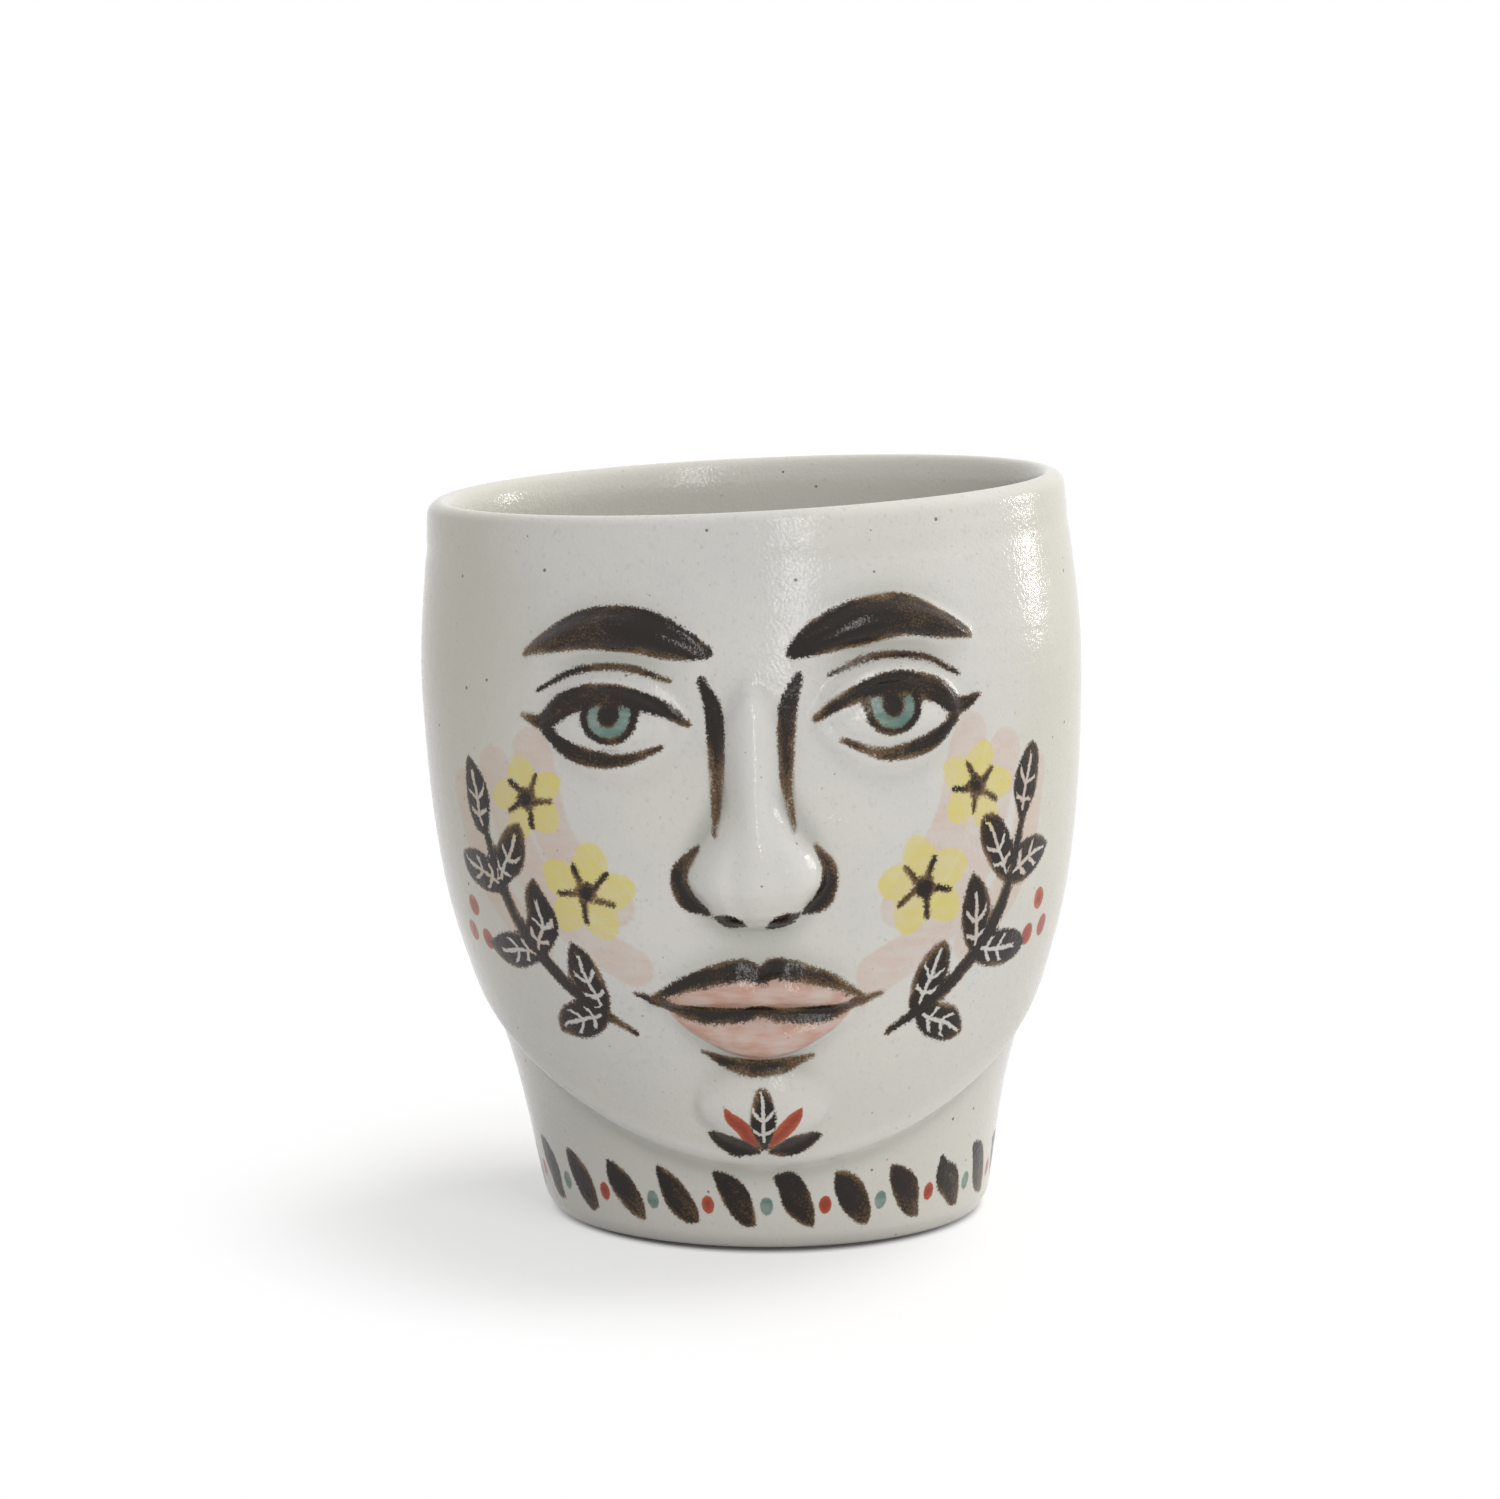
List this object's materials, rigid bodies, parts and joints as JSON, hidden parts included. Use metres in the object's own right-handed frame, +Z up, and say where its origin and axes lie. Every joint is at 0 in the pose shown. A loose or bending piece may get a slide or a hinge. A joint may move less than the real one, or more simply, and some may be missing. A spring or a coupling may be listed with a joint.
{
  "type": "face cup",
  "caption": "Handmade glazed stoneware tumbler with no handle, its wall worked into a calm face in low relief over a jaw line and a narrower foot, for drinking from or holding small things.",
  "frame": {"origin": "middle of the flat underside of the foot, on the table", "axes": "+Z up along the cup, -Y the way the face looks, +X to the right of someone looking at the face"},
  "size_m": [0.0901, 0.0923, 0.102],
  "materials": {
    "glaze": "glossy pale grey-white glaze with a faint green cast, fine dark specks and orange-peel sheen",
    "bare_clay": "bare fired stoneware, dry and finely grained",
    "brown_brushwork": "brown-black brushwork under a gloss glaze",
    "rose_brushwork": "rose wash under a gloss glaze"
  },
  "bodies": {
    "root": {"base_slab": "bare_clay", "body_wall": "glaze", "seam_coil": "glaze", "left_brow": "brown_brushwork", "right_brow": "brown_brushwork", "left_eye": "glaze", "right_eye": "glaze", "left_upper_lid": "glaze", "right_upper_lid": "glaze", "left_lower_lid": "glaze", "right_lower_lid": "glaze", "nose": "glaze", "upper_lip": "rose_brushwork", "lower_lip": "rose_brushwork", "chin": "glaze"}
  },
  "joints": []
}
